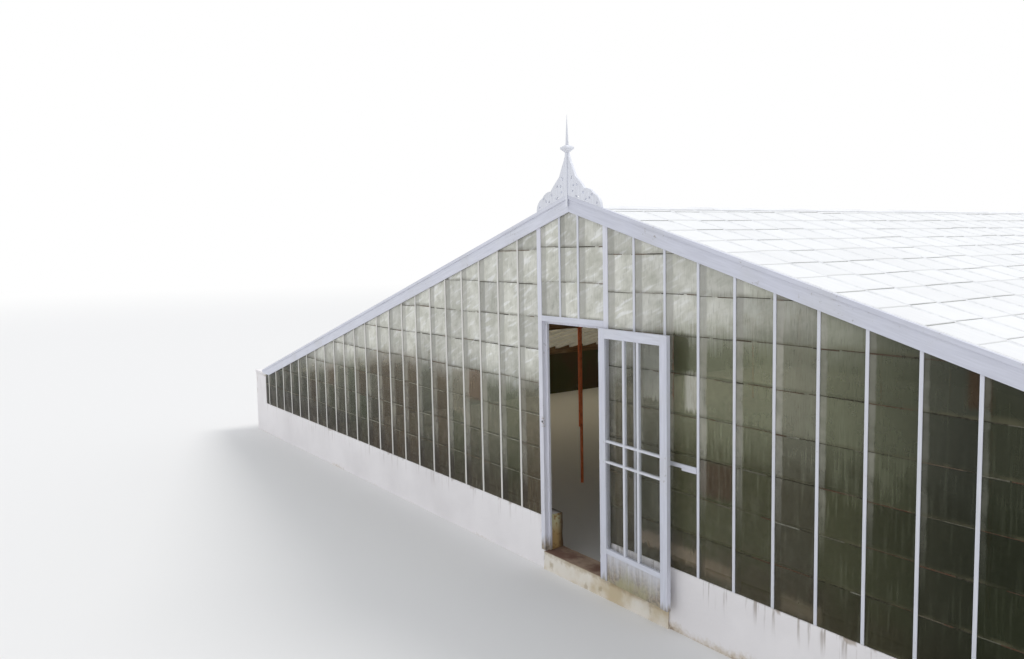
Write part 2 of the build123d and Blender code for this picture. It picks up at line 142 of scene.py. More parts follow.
# Timber and ironwork
timber_bevel = 0.0018
fine_bevel = 0.001
weld_distance = 1e-5
smooth_angle = math.radians(32)
upright_grain = (70.0, 70.0, 5.0)
sloping_grain = (4.0, 70.0, 75.0)
noise_roughness = 0.55
keep_bore_inset = 0.011
keep_bore_radius = 0.009
keep_bore_rim = (0.0012, 0.0004)    # past the radius, the painted shade starts and is full

plinth_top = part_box("plinth_right")[1].z
inner_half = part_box("plinth_right")[1].x
doorway_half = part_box("plinth_right")[0].x
sill_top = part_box("door_sill")[1].z
house_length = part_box("back_plinth")[1].y
glass_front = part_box("front_glass_right")[0].y
glass_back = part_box("front_glass_right")[1].y
roof_low, roof_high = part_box("roof_glass_right")
roof_sheet = glass_back - glass_front + roof_sheet_extra
roof_rise = (roof_high.z - roof_low.z - roof_sheet) / (roof_high.x - roof_low.x)
slope_length = math.hypot(1, roof_rise)
slope_angle = math.atan(roof_rise)
ridge_face = roof_low.x
eaves_reach = roof_high.x
keep_low, keep_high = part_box("latch_keep")


def roof_top(x):
    """Height of the roof glass."""
    return roof_high.z - roof_rise * (abs(x) - ridge_face)


def solid_boxes(node):
    """Lowest and highest corners of each separate solid of a node, from left to right."""
    mesh = bmesh.new()
    mesh.from_mesh(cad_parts[node].data)
    bmesh.ops.remove_doubles(mesh, verts=mesh.verts, dist=weld_distance)
    boxes = []
    seen = set()
    for first in mesh.verts:
        if first in seen:
            continue
        seen.add(first)
        group = [first]
        for vert in group:
            for edge in vert.link_edges:
                other = edge.other_vert(vert)
                if other not in seen:
                    seen.add(other)
                    group.append(other)
        low = Vector(min(vert.co[axis] for vert in group) for axis in range(3))
        high = Vector(max(vert.co[axis] for vert in group) for axis in range(3))
        boxes.append((low, high))
    mesh.free()
    return sorted(boxes, key=lambda pair: (pair[0].x, pair[0].y))


class Graph:
    """A material whose nodes are added with short calls."""

    def __init__(self, name, roughness=0.5, specular=0.3):
        self.material = bpy.data.materials.new(name)
        self.material.use_nodes = True
        self.tree = self.material.node_tree
        self.shader = self.tree.nodes["Principled BSDF"]
        self.shader.inputs["Roughness"].default_value = roughness
        self.shader.inputs["Specular IOR Level"].default_value = specular
        self.place = self.node("ShaderNodeTexCoord").outputs["Object"]

    def node(self, kind, **settings):
        made = self.tree.nodes.new(kind)
        for key, value in settings.items():
            setattr(made, key, value)
        return made

    def put(self, socket, value):
        if isinstance(value, bpy.types.NodeSocket):
            self.tree.links.new(value, socket)
        elif isinstance(value, (tuple, list)) and len(value) == 3 and socket.type == "RGBA":
            socket.default_value = (*value, 1.0)
        else:
            socket.default_value = value

    def set(self, name, value):
        self.put(self.shader.inputs[name], value)

    def math(self, operation, *values):
        made = self.node("ShaderNodeMath", operation=operation)
        for socket, value in zip(made.inputs, values):
            self.put(socket, value)
        return made.outputs[0]

    def plus(self, first, second):
        return self.math("ADD", first, second)

    def minus(self, first, second):
        return self.math("SUBTRACT", first, second)

    def times(self, first, second):
        return self.math("MULTIPLY", first, second)

    def sway(self, value, reach):
        """A noise around a half, moved to lie around zero and spread over reach."""
        return self.times(self.minus(value, 0.5), reach)

    def scaled(self, colour, share):
        made = self.node("ShaderNodeVectorMath", operation="SCALE")
        self.put(made.inputs[0], colour)
        self.put(made.inputs["Scale"], share)
        return made.outputs[0]

    def part(self, axis):
        """One coordinate of a place on the object."""
        made = self.node("ShaderNodeSeparateXYZ")
        self.put(made.inputs[0], self.place)
        return made.outputs[axis]

    def upward(self):
        """How far a face looks up: 1 for a floor, -1 for a ceiling."""
        made = self.node("ShaderNodeSeparateXYZ")
        self.put(made.inputs[0], self.node("ShaderNodeNewGeometry").outputs["Normal"])
        return made.outputs["Z"]

    def ramp(self, value, low, high, start=0.0, end=1.0):
        """A smooth step from start to end while value goes from low to high."""
        made = self.node("ShaderNodeMapRange", interpolation_type="SMOOTHSTEP")
        for name, number in (("Value", value), ("From Min", low), ("From Max", high), ("To Min", start),
                             ("To Max", end)):
            self.put(made.inputs[name], number)
        return made.outputs["Result"]

    def stretched(self, scale, turn=0.0):
        """Places scaled along the axes, for streaks; turn tips them about the Y axis first."""
        made = self.node("ShaderNodeMapping", vector_type="TEXTURE")
        self.put(made.inputs["Vector"], self.place)
        made.inputs["Scale"].default_value = [1 / number for number in scale]
        made.inputs["Rotation"].default_value = (0, turn, 0)
        return made.outputs["Vector"]

    def noise(self, scale, detail=3.0, where=None):
        made = self.node("ShaderNodeTexNoise")
        self.put(made.inputs["Vector"], self.place if where is None else where)
        made.inputs["Scale"].default_value = scale
        made.inputs["Detail"].default_value = detail
        made.inputs["Roughness"].default_value = noise_roughness
        return made.outputs["Fac"]

    def streaks(self, detail, stretch, turn=0.0):
        return self.noise(1.0, detail, self.stretched(stretch, turn))

    def mix(self, share, first, second):
        made = self.node("ShaderNodeMix", data_type="RGBA")
        self.put(made.inputs["Factor"], share)
        self.put(made.inputs["A"], first)
        self.put(made.inputs["B"], second)
        return made.outputs["Result"]

    def mark(self):
        """The three numbers that Batch or hand_laid stored on the points."""
        made = self.node("ShaderNodeAttribute", attribute_name="mark")
        parts = self.node("ShaderNodeSeparateColor")
        self.put(parts.inputs[0], made.outputs["Color"])
        return parts.outputs

    def within(self, value, low, high):
        """One between low and high, fading to nothing outside them."""
        rise = self.ramp(value, low - spot_softness, low)
        return self.times(rise, self.ramp(value, high + spot_softness, high))

    def patch(self, x_low, x_high, z_low, z_high):
        """One inside a patch of the gable, fading to nothing at its ragged edges."""
        shift = self.sway(self.streaks(3.0, (45.0, 9.0, 6.0)), spot_raggedness)
        sides = self.within(self.plus(self.part("X"), self.times(shift, 0.3)), x_low, x_high)
        return self.times(sides, self.within(self.plus(self.part("Z"), shift), z_low, z_high))

    def shade_keep_bore(self, colour):
        """A colour with painted shade inside the latch keep's bore."""
        side = self.minus(self.part("X"), keep_low.x + keep_bore_inset)
        rise = self.minus(self.part("Z"), (keep_low.z + keep_high.z) / 2)
        distance = self.math("SQRT", self.plus(self.times(side, side), self.times(rise, rise)))
        inside = self.ramp(distance, *(keep_bore_radius + more for more in keep_bore_rim))
        # Painted shade: the inside of the bore is painted near black.
        return self.mix(inside, colour, (0.03, 0.026, 0.022))

    def bump(self, height, distance, strength=1.0):
        made = self.node("ShaderNodeBump")
        made.inputs["Distance"].default_value = distance
        made.inputs["Strength"].default_value = strength
        self.put(made.inputs["Height"], height)
        self.set("Normal", made.outputs["Normal"])

    def blend(self, share, other):
        """Lets a share of another shader show in place of the painted one."""
        both = self.node("ShaderNodeMixShader")
        self.put(both.inputs[0], share)
        self.put(both.inputs[1], self.shader.outputs[0])
        self.put(both.inputs[2], other.outputs[0])
        self.put(self.tree.nodes["Material Output"].inputs["Surface"], both.outputs[0])


def timber_paint(name, grain, turn=0.0, white=(0.72, 0.73, 0.79), soiled=None):
    """Old white paint on timber: brush marks along the grain, grey wear and a little grime.

    soiled holds the heights between which the paint goes from stained to clean. Soiled paint is the door's,
    so it also has painted shade in the latch keep's bore.
    """
    graph = Graph(name, roughness=0.5, specular=0.25)
    brush = graph.streaks(4.0, grain, turn)
    cloud = graph.noise(2.3, 3.0)
    fine = graph.noise(38.0, 4.0)
    worn = graph.times(graph.ramp(fine, 0.62, 0.72), graph.ramp(cloud, 0.5, 0.62))
    colour = graph.mix(graph.ramp(brush, 0.3, 0.7), tuple(0.9 * c for c in white), white)
    colour = graph.mix(graph.times(graph.ramp(cloud, 0.45, 0.75), 0.35), colour, (0.60, 0.60, 0.60))
    colour = graph.mix(graph.times(worn, 0.75), colour, (0.34, 0.32, 0.29))
    if soiled:
        stained, clean = soiled
        level = graph.plus(graph.part("Z"), graph.sway(graph.streaks(4.0, (32.0, 32.0, 4.0)), 0.22))
        stain = graph.mix(graph.ramp(fine, 0.4, 0.6), (0.34, 0.27, 0.17), (0.17, 0.13, 0.08))
        stain = graph.mix(graph.ramp(cloud, 0.5, 0.6, 0.0, 0.7), stain, (0.34, 0.31, 0.13))
        # Stains near the sill, and painted shade in the latch keep's bore.
        colour = graph.shade_keep_bore(graph.mix(graph.ramp(level, clean, stained, 0.0, 0.85), colour, stain))
    graph.set("Base Color", colour)
    graph.set("Roughness", graph.ramp(brush, 0.3, 0.7, 0.62, 0.42))
    graph.bump(graph.minus(brush, graph.times(worn, 0.8)), 0.0012, 0.7)
    return graph.material


def bare_timber():
    """Unpainted roof timber, brown and dusty."""
    graph = Graph("bare_timber", roughness=0.8, specular=0.15)
    grain = graph.streaks(5.0, (60.0, 3.0, 60.0))
    colour = graph.mix(graph.ramp(grain, 0.3, 0.7), (0.10, 0.055, 0.03), (0.26, 0.16, 0.09))
    colour = graph.mix(graph.ramp(graph.noise(1.7), 0.45, 0.8, 0.0, 0.5), colour, (0.33, 0.28, 0.21))
    graph.set("Base Color", colour)
    graph.bump(grain, 0.002, 0.7)
    return graph.material


def plaster():
    """Whitewashed plaster: stained foot, drips under the top edge, small chips.

    It is ochre in the doorway's reveals, and brown and mossy inside the house.
    """
    graph = Graph("limewashed_plaster", roughness=0.85, specular=0.1)
    x, y, z = (graph.part(axis) for axis in "XYZ")
    side = graph.math("ABSOLUTE", x)
    chips = graph.mark()[0]
    broad = graph.noise(1.1, 4.0)
    fine = graph.noise(26.0, 5.0)
    drip = graph.streaks(4.0, (24.0, 24.0, 1.6))
    colour = graph.mix(graph.ramp(broad, 0.35, 0.7), (0.90, 0.87, 0.87), (0.82, 0.79, 0.79))

    run = graph.times(graph.ramp(drip, 0.56, 0.68), graph.ramp(z, plinth_top - 0.22, plinth_top))
    run = graph.times(run, graph.ramp(x, -0.5, 0.5, 0.35, 0.75))
    run = graph.times(run, graph.ramp(side, inner_half, inner_half + 0.1, 1.0, 0.35))
    colour = graph.mix(run, colour, (0.34, 0.29, 0.25))

    foot = graph.plus(z, graph.sway(fine, 0.13))
    foot = graph.plus(foot, graph.sway(broad, 0.3))
    foot = graph.plus(foot, graph.ramp(x, 0.0, -0.5, 0.0, 0.09))
    colour = graph.mix(graph.ramp(foot, 0.10, 0.0, 0.0, 0.85), colour, (0.52, 0.43, 0.30))
    colour = graph.mix(graph.ramp(foot, 0.035, -0.02, 0.0, 0.8), colour, (0.24, 0.16, 0.12))
    chipped = graph.times(graph.ramp(chips, 0.2, 0.6), graph.ramp(x, -0.6, 0.4, 0.35, 0.8))
    colour = graph.mix(chipped, colour, (0.40, 0.34, 0.28))

    reveal = graph.ramp(side, doorway_half + 0.012, doorway_half + 0.006)
    reveal = graph.times(graph.times(reveal, graph.ramp(y, 0.02, 0.05)), graph.ramp(y, 1.2, 0.8))
    ochre = graph.mix(graph.ramp(z, 0.26, 0.42), (0.56, 0.38, 0.17), (0.66, 0.62, 0.38))
    ochre = graph.mix(graph.ramp(fine, 0.5, 0.65), ochre, (0.40, 0.24, 0.10))
    colour = graph.mix(reveal, colour, ochre)

    inside = graph.ramp(side, inner_half + 0.012, inner_half + 0.002)
    between = graph.times(graph.ramp(y, 0.12, 0.2), graph.ramp(y, house_length - 0.12, house_length - 0.2))
    moss = graph.mix(graph.ramp(broad, 0.4, 0.65), (0.10, 0.065, 0.045), (0.075, 0.075, 0.04))
    colour = graph.mix(graph.times(inside, between), colour, moss)
    graph.set("Base Color", colour)
    graph.bump(graph.plus(fine, graph.times(drip, 0.4)), 0.003, 0.6)
    return graph.material


def sill_stone():
    """The door sill: cream at the front, brown with soil on top."""
    graph = Graph("sill_stone", roughness=0.9, specular=0.1)
    fine = graph.noise(22.0, 5.0)
    broad = graph.noise(3.0, 4.0)
    front = graph.mix(graph.ramp(broad, 0.42, 0.66), (0.80, 0.75, 0.67), (0.60, 0.50, 0.34))
    front = graph.mix(graph.ramp(graph.noise(9.0, 5.0), 0.58, 0.72, 0.0, 0.6), front, (0.40, 0.31, 0.18))
    rim = graph.plus(graph.part("Z"), graph.sway(fine, 0.12))
    front = graph.mix(graph.ramp(rim, sill_top - 0.05, sill_top, 0.0, 0.6), front, (0.40, 0.31, 0.19))
    top = graph.mix(graph.ramp(broad, 0.35, 0.6), (0.17, 0.10, 0.075), (0.36, 0.27, 0.20))
    share = graph.ramp(graph.plus(graph.upward(), graph.times(fine, 0.4)), 0.7, 1.0)
    graph.set("Base Color", graph.mix(share, front, top))
    graph.bump(fine, 0.004, 0.8)
    return graph.material


def pale_edge(graph):
    """Height on the gable above which the panes are pale, from lime and from painted light of the roof
    behind.
    """
    x = graph.part("X")
    left = graph.ramp(x, -6.4, -3.0, 1.25, 1.63)
    return graph.plus(left, graph.ramp(x, 0.2, 1.2, 0.0, 0.58))


def along_gable(graph, left, middle, right):
    """A colour that changes from the left end of the gable to the right one."""
    x = graph.part("X")
    first = graph.mix(graph.ramp(x, -2.2, 0.2), left, middle)
    return graph.mix(graph.ramp(x, 1.9, 3.45), first, right)


def growth_and_ground_sheen(graph, hue, green, brown, grey):
    """Green, brown or grey dirt, as hue says; each is three colours along the gable, paler away from the
    right end partly as a painted reflection of the ground.
    """
    first = graph.mix(graph.ramp(hue, 0.40, 0.50), along_gable(graph, *green), along_gable(graph, *brown))
    return graph.mix(graph.ramp(hue, 0.58, 0.68), first, along_gable(graph, *grey))


def pane_chances(graph, shade):
    """A random number for each column of panes, and one for each pane."""
    x = graph.part("X")
    other_side = graph.times(graph.math("GREATER_THAN", x, 0.0), side_shift)
    column = graph.math("DIVIDE", graph.minus(graph.math("ABSOLUTE", x), jamb_middle), bar_pitch)
    chance = graph.node("ShaderNodeTexWhiteNoise", noise_dimensions="1D")
    graph.put(chance.inputs["W"], graph.plus(graph.math("FLOOR", column), other_side))
    return chance.outputs["Value"], graph.math("FRACT", graph.times(shade, pane_stir))


def pale_zone_share(graph, sways):
    """One where the gable's panes are pale, from lime and painted roof light; sways are noises that make its
    lower edge uneven.
    """
    x = graph.part("X")
    edge = pale_edge(graph)
    for value, reach in sways:
        edge = graph.plus(edge, graph.sway(value, reach))
    share = graph.ramp(graph.minus(graph.part("Z"), edge), -0.20, 0.16)
    share = graph.times(share, graph.ramp(x, -6.3, -5.3, 0.2, 1.0))
    return graph.times(share, graph.ramp(x, 1.2, 2.9, 1.0, 0.08))


def lime_and_roof_light(graph, ripple, middle):
    """Pale panes: lime, brightened as painted light of the roof shining through, with painted slanting
    glints.
    """
    x = graph.part("X")
    # The pale colour is partly lime and partly painted light: the bright roof underside seen through the
    # panes.
    pale = graph.mix(graph.ramp(middle, 0.3, 0.7), (0.75, 0.745, 0.655), (0.86, 0.855, 0.785))
    # Painted highlights: slanting glints of light on the panes, and darker where the ripple is low.
    painted_glint = graph.times(graph.ramp(ripple, 0.53, 0.68), graph.ramp(x, -4.5, -1.5, 0.6, 0.9))
    painted_glint = graph.times(painted_glint, graph.ramp(x, 0.6, 2.0, 1.0, 0.2))
    pale = graph.mix(painted_glint, pale, (1.0, 1.0, 0.97))
    return graph.mix(graph.ramp(ripple, 0.44, 0.32, 0.0, 0.30), pale, (0.58, 0.58, 0.50))


def dirty_panes(graph, hue, streak, middle):
    """Algae and soil: dark at the foot of the gable, a paler olive above."""
    x = graph.part("X")
    z = graph.part("Z")
    # Each colour is darkest at the right end; the paler left and middle are partly a painted reflection of
    # the ground.
    dark = growth_and_ground_sheen(graph, hue,
                  ((0.060, 0.066, 0.036), (0.084, 0.086, 0.043), (0.020, 0.024, 0.010)),
                  ((0.084, 0.063, 0.038), (0.108, 0.083, 0.048), (0.024, 0.023, 0.011)),
                  ((0.074, 0.075, 0.050), (0.094, 0.088, 0.056), (0.021, 0.024, 0.012)))
    soil = along_gable(graph, (0.064, 0.045, 0.030), (0.086, 0.064, 0.038), (0.020, 0.020, 0.010))
    low = graph.plus(z, graph.sway(middle, 0.5))
    dark = graph.mix(graph.ramp(low, 0.5, 0.85, 0.6, 0.0), dark, soil)
    olive = growth_and_ground_sheen(graph, hue,
                   ((0.195, 0.208, 0.145), (0.245, 0.255, 0.165), (0.035, 0.038, 0.022)),
                   ((0.212, 0.174, 0.118), (0.245, 0.225, 0.155), (0.038, 0.036, 0.022)),
                   ((0.218, 0.220, 0.165), (0.245, 0.245, 0.180), (0.035, 0.038, 0.026)))
    level = graph.plus(z, graph.plus(graph.sway(streak, 0.5), graph.sway(middle, 0.3)))
    share = graph.ramp(level, graph.ramp(x, -0.6, 0.9, 0.70, 1.20), graph.ramp(x, -0.6, 0.9, 1.60, 1.72))
    return graph.mix(share, dark, olive)


def single_spots(graph, colour):
    """Stains on single panes: each has X from and to, Z from and to, a colour and a strength."""
    for place, tone, strength in (((1.11, 1.27, 1.92, 2.14), (0.090, 0.095, 0.045), 0.8),
                                  ((1.29, 1.40, 1.66, 1.87), (0.66, 0.65, 0.57), 0.85),
                                  ((0.86, 1.04, 1.70, 2.05), (0.66, 0.66, 0.58), 0.75),
                                  ((-1.65, -1.40, 1.36, 1.60), (0.21, 0.14, 0.09), 0.75),
                                  ((-1.92, -1.72, 1.20, 1.58), (0.30, 0.27, 0.20), 0.7),
                                  ((3.26, 3.33, 1.95, 2.12), (0.055, 0.030, 0.014), 0.8),
                                  ((1.42, 1.66, 1.10, 1.28), (0.085, 0.045, 0.030), 0.7),
                                  ((0.78, 1.02, 0.58, 0.64), (0.36, 0.27, 0.19), 0.8),
                                  ((1.12, 1.36, 0.56, 0.62), (0.35, 0.28, 0.19), 0.8),
                                  ((1.46, 1.66, 0.54, 0.60), (0.27, 0.21, 0.14), 0.6),
                                  ((2.12, 2.36, 0.50, 0.56), (0.24, 0.20, 0.13), 0.6)):
        colour = graph.mix(graph.times(graph.patch(*place), strength), colour, tone)
    return colour


def painted_stem_strips(graph, colour, across, middle, pale_share):
    """Painted strips along each pane's left edge that stand in for the bars' stems seen through the panes:
    painted shade on the pale panes, a painted lit stem on the darker ones.
    """
    x = graph.part("X")
    z = graph.part("Z")
    reach = graph.plus(graph.ramp(x, 0.0, 4.0, 0.27, 0.10), graph.sway(middle, 0.10))
    stem = graph.ramp(graph.minus(across, reach), 0.03, -0.03)
    stem = graph.times(stem, graph.ramp(middle, 0.3, 0.6, 0.55, 0.95))
    stem = graph.times(stem, graph.math("MAXIMUM", graph.ramp(x, 0.6, 0.0), graph.ramp(z, 0.8, 1.6)))
    # Painted light and shade: the strip is darker than the pale panes and mostly paler than the dark ones.
    stem_strip_tone = graph.mix(graph.ramp(z, 0.6, 1.0), (0.06, 0.05, 0.04), (0.44, 0.42, 0.35))
    stem_strip_tone = graph.mix(graph.ramp(x, -0.4, 0.4), stem_strip_tone, (0.50, 0.48, 0.41))
    stem_strip_tone = graph.mix(graph.ramp(x, 1.9, 3.45), stem_strip_tone, (0.15, 0.15, 0.12))
    stem_strip_tone = graph.mix(pale_share, stem_strip_tone, (0.46, 0.45, 0.41))
    return graph.mix(graph.times(stem, 0.72), colour, stem_strip_tone)


def gable_glass():
    """Dirty panes: pale above from lime and painted light of the roof behind, with painted glints; green,
    brown or grey with algae and splashed soil below.
    """
    graph = Graph("dirty_gable_glass", roughness=0.32, specular=0.12)
    shade, across, along = graph.mark()[:3]
    x = graph.part("X")
    broad = graph.noise(1.3, 3.0)
    middle = graph.noise(6.5, 4.0)
    streak = graph.streaks(5.0, (55.0, 8.0, 3.2))
    fine = graph.streaks(4.0, (190.0, 20.0, 12.0))
    ripple = graph.streaks(1.5, (5.0, 5.0, 24.0), -0.42)
    by_column, by_pane = pane_chances(graph, shade)
    hue = graph.plus(graph.times(by_column, 0.70), graph.times(by_pane, 0.10))
    hue = graph.plus(hue, graph.times(broad, 0.20))

    pale_share = pale_zone_share(graph, ((streak, 0.22), (broad, 0.16), (by_column, 0.08), (by_pane, 0.05)))
    colour = graph.mix(pale_share, dirty_panes(graph, hue, streak, middle), lime_and_roof_light(graph, ripple, middle))
    colour = single_spots(graph, colour)
    lighter = graph.times(graph.ramp(streak, 0.50, 0.72), graph.ramp(pale_share, 0.0, 0.6, 0.26, 0.10))
    colour = graph.mix(lighter, colour,
                       along_gable(graph, (0.44, 0.43, 0.34), (0.34, 0.35, 0.25), (0.10, 0.11, 0.07)))
    darker = graph.times(graph.ramp(fine, 0.52, 0.72), 0.36)
    colour = graph.mix(darker, colour, (0.055, 0.055, 0.032))
    colour = painted_stem_strips(graph, colour, across, middle, pale_share)
    foot = graph.times(graph.ramp(along, 0.09, 0.0), graph.ramp(middle, 0.35, 0.65, 0.1, 0.6))
    colour = graph.mix(foot, colour, (0.12, 0.11, 0.065))
    tint = graph.times(graph.ramp(shade, 0.0, 1.0, 0.84, 1.10), graph.ramp(x, -7.6, -4.6, 0.66, 1.0))
    graph.set("Base Color", graph.scaled(colour, tint))

    film = graph.plus(graph.ramp(middle, 0.3, 0.7, 0.50, 0.62), graph.times(pale_share, 0.14))
    thick = graph.times(graph.ramp(x, 1.5, 3.5, 0.0, 0.28), graph.ramp(pale_share, 0.3, 0.9, 1.0, 0.2))
    splash = graph.times(graph.ramp(graph.part("Z"), 0.95, 0.7, 0.0, 0.12), graph.ramp(x, 0.3, -0.3))
    graph.set("Alpha", graph.plus(film, graph.plus(thick, splash)))
    graph.set("Roughness", graph.ramp(middle, 0.3, 0.7, 0.2, 0.45))
    graph.bump(graph.plus(graph.times(broad, 2.0), ripple), 0.004, 0.35)
    return graph.material


def clear_glass():
    """The leaf's thin panes, nearly clean."""
    graph = Graph("clear_leaf_glass", roughness=0.08, specular=0.25)
    film = graph.streaks(4.0, (40.0, 40.0, 3.0))
    graph.set("Base Color", graph.mix(graph.ramp(film, 0.35, 0.65), (0.09, 0.10, 0.07), (0.20, 0.20, 0.16)))
    graph.set("Alpha", graph.ramp(film, 0.4, 0.8, 0.08, 0.20))
    return graph.material


def roof_limewash():
    """Roof panes brushed over with limewash, which lets a little light through; dusty underneath."""
    graph = Graph("limewashed_roof_glass", roughness=0.5, specular=0.25)
    marks = graph.mark()
    brush = graph.streaks(5.0, (2.5, 30.0, 2.5))
    cloud = graph.noise(1.4, 4.0)
    colour = graph.mix(graph.ramp(brush, 0.35, 0.7), (0.93, 0.935, 0.945), (0.895, 0.90, 0.915))
    colour = graph.mix(graph.times(graph.ramp(cloud, 0.5, 0.7), 0.3), colour, (0.83, 0.83, 0.84))
    foot = graph.times(graph.ramp(marks[2], 0.05, 0.0), graph.ramp(cloud, 0.4, 0.6, 0.0, 0.35))
    colour = graph.mix(foot, colour, (0.52, 0.52, 0.50))
    colour = graph.scaled(colour, graph.ramp(marks[0], 0.0, 1.0, 0.965, 1.0))
    under = graph.ramp(graph.upward(), -0.3, -0.6)
    soiled = graph.ramp(graph.streaks(4.0, (2.2, 26.0, 2.2)), 0.46, 0.66, 0.0, 0.85)
    dusty = graph.mix(soiled, (0.66, 0.60, 0.47), (0.30, 0.22, 0.14))
    graph.set("Base Color", graph.mix(under, colour, dusty))
    graph.bump(brush, 0.001, 0.6)

    through = graph.node("ShaderNodeBsdfTranslucent")
    graph.put(through.inputs["Color"], (0.92, 0.88, 0.76))
    thin = graph.ramp(graph.part("X"), -3.8, -4.8)
    share = graph.node("ShaderNodeMix", data_type="FLOAT")
    graph.put(share.inputs["Factor"], under)
    graph.put(share.inputs["A"], graph.ramp(thin, 0.0, 1.0, 0.10, 0.20))
    graph.put(share.inputs["B"], graph.ramp(thin, 0.0, 1.0, 0.15, 0.50))
    graph.blend(share.outputs["Result"], through)
    return graph.material


def lap_grime():
    """Moss, rust and lime in the laps between panes: dark on the pale glass, paler on the dark."""
    graph = Graph("lap_grime", roughness=0.95, specular=0.05)
    kind = graph.mark()[0]
    pale_share = graph.ramp(graph.minus(graph.part("Z"), pale_edge(graph)), -0.12, 0.08)
    upper = graph.mix(graph.ramp(kind, 0.66, 0.72), (0.060, 0.056, 0.045), (0.17, 0.11, 0.075))
    upper = graph.mix(graph.ramp(kind, 0.88, 0.92), upper, (0.50, 0.49, 0.44))
    lower = graph.mix(graph.ramp(kind, 0.14, 0.20), (0.15, 0.147, 0.115), (0.095, 0.052, 0.034))
    lower = graph.mix(graph.ramp(kind, 0.44, 0.50), lower, (0.030, 0.028, 0.020))
    lower = graph.mix(graph.ramp(kind, 0.96, 0.98), lower, (0.22, 0.22, 0.18))
    limed = graph.mix(graph.ramp(kind, 0.67, 0.73), (0.36, 0.35, 0.29), (0.16, 0.12, 0.09))
    lower = graph.mix(graph.ramp(graph.part("X"), 0.2, -0.2), lower, limed)
    colour = graph.mix(pale_share, lower, upper)
    specks = graph.ramp(graph.noise(60.0), 0.35, 0.65, 0.0, 0.6)
    graph.set("Base Color", graph.mix(specks, colour, (0.09, 0.08, 0.06)))
    graph.bump(graph.noise(300.0), 0.002)
    return graph.material


def roof_grime_and_gap_shade():
    """Grey dirt under the lower edges of some of the roof panes, darkened as painted shade of the gap in the
    lap.
    """
    graph = Graph("roof_grime_and_gap_shade", roughness=0.95, specular=0.05)
    kind = graph.mark()[0]
    patches = graph.noise(5.0, 4.0)
    # The darker greys are partly painted shade of the gap under the lap.
    dirt = graph.mix(graph.ramp(patches, 0.35, 0.65), (0.10, 0.10, 0.09), (0.30, 0.30, 0.28))
    graph.set("Base Color", graph.mix(graph.ramp(kind, 0.45, 0.7), dirt, (0.66, 0.66, 0.65)))
    return graph.material


def putty():
    """Old glazing putty under the limewash."""
    graph = Graph("old_putty", roughness=0.8, specular=0.15)
    patches = graph.noise(24.0, 4.0)
    colour = graph.mix(graph.ramp(patches, 0.4, 0.65), (0.86, 0.86, 0.87), (0.74, 0.74, 0.74))
    graph.set("Base Color", colour)
    graph.bump(patches, 0.002, 0.8)
    return graph.material


def red_iron():
    """Posts in red paint, chipped to rust."""
    graph = Graph("red_painted_iron", roughness=0.55, specular=0.3)
    patches = graph.noise(14.0, 5.0)
    rust = graph.ramp(graph.noise(60.0, 4.0), 0.62, 0.68, 0.0, 0.8)
    colour = graph.mix(graph.ramp(patches, 0.42, 0.7), (0.95, 0.25, 0.10), (0.74, 0.18, 0.075))
    graph.set("Base Color", graph.mix(rust, colour, (0.10, 0.045, 0.025)))
    graph.bump(patches, 0.001)
    return graph.material


def painted_iron():
    """Hinges and the keep under many coats of white, with a little rust and painted shade in the keep's bore.
    """
    graph = Graph("white_painted_iron", roughness=0.5, specular=0.35)
    rust = graph.ramp(graph.noise(70.0, 4.0), 0.56, 0.66)
    colour = graph.mix(rust, (0.66, 0.66, 0.70), (0.24, 0.12, 0.07))
    # Painted shade in the keep's bore.
    graph.set("Base Color", graph.shade_keep_bore(colour))
    graph.bump(graph.noise(120.0), 0.0008)
    return graph.material


class Batch:
    """Closed solids gathered into one mesh; each point keeps three numbers for the material."""

    def __init__(self):
        self.points = []
        self.faces = []
        self.marks = []

    def prism(self, front, back, marks):
        """A solid between two outlines with the same number of points."""
        start = len(self.points)
        count = len(front)
        self.points += list(front) + list(back)
        self.marks += [(*mark, 1.0) for mark in marks] * 2
        self.faces.append([start + step for step in range(count)])
        self.faces.append([start + count + step for step in reversed(range(count))])
        for step in range(count):
            after = (step + 1) % count
            self.faces.append([start + after, start + step, start + count + step, start + count + after])

    def block(self, x_pair, y_pair, z_pair, mark):
        """A box between two values on each axis."""
        (x0, x1), (y0, y1), (z0, z1) = x_pair, y_pair, z_pair
        outline = ((x0, z0), (x1, z0), (x1, z1), (x0, z1))
        self.prism([(x, y0, z) for x, z in outline], [(x, y1, z) for x, z in outline], [mark] * 4)

    def build(self, name, material, body, nodes=()):
        mesh = bpy.data.meshes.new(name)
        mesh.from_pydata([tuple(point) for point in self.points], [], self.faces)
        layer = mesh.color_attributes.new("mark", "FLOAT_COLOR", "POINT")
        layer.data.foreach_set("color", [number for mark in self.marks for number in mark])
        tidy = bmesh.new()
        tidy.from_mesh(mesh)
        bmesh.ops.recalc_face_normals(tidy, faces=tidy.faces)
        tidy.to_mesh(mesh)
        tidy.free()
        settle(name, mesh, material, body, nodes)


def settle(name, mesh, material, body, nodes=()):
    """Links a mesh to the scene as a piece that rides on a body and may stand for nodes."""
    mesh.materials.append(material)
    piece = bpy.data.objects.new(name, mesh)
    bpy.context.scene.collection.objects.link(piece)
    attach(piece, body)
    if nodes:
        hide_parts(*nodes)


def dress(nodes, material, bevel=0.0):
    """Gives CAD nodes a material and softens their arrises."""
    for node in nodes:
        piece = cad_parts[node]
        piece.data.materials.clear()
        piece.data.materials.append(material)
        if bevel:
            weld = piece.modifiers.new("weld", "WELD")
            weld.merge_threshold = weld_distance
            soft = piece.modifiers.new("soft", "BEVEL")
            soft.width = bevel
            soft.segments = 2
            soft.limit_method = "ANGLE"
            soft.angle_limit = smooth_angle


